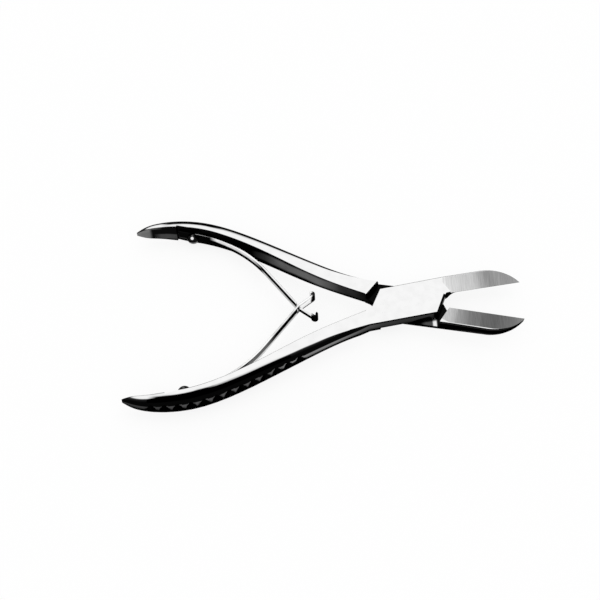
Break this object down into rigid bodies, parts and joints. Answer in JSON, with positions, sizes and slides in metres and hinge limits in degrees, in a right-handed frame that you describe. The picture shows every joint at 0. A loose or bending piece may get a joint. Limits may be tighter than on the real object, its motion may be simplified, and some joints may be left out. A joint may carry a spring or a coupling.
{
  "type": "bone cutting forceps",
  "caption": "Hand forceps with two crossed steel levers in a lapped screw joint, short knife-edged blades, grooved handles and hooked leaf springs that push them open.",
  "frame": {"origin": "on the pivot axis, in the bare flat face on top of the joint", "axes": "+X towards the blades, +Z out of the flat top face, +Y towards the under lever's handle; the jaws open in the X-Y plane"},
  "size_m": [0.1726, 0.1034, 0.0104],
  "materials": {
    "lever_steel": "polished stainless steel, blades ground satin",
    "spring_steel": "polished spring steel",
    "screw_steel": "polished stainless steel"
  },
  "bodies": {
    "over_half": {"over_lever": "lever_steel", "pivot_screw": "screw_steel", "window_spring": "spring_steel", "window_spring_screw": "screw_steel"},
    "under_half": {"under_lever": "lever_steel", "tongue_spring": "spring_steel", "tongue_spring_screw": "screw_steel"}
  },
  "joints": [
    {"name": "handle_squeeze", "type": "hinge", "parent": "over_half", "child": "under_half", "pos_m": [0, 0, -0.0032], "axis": [0, 0, 1], "range_deg": [-12, 21.5], "stiffness_Nm_per_rad": 3, "deforming": ["window_spring", "tongue_spring"]}
  ]
}
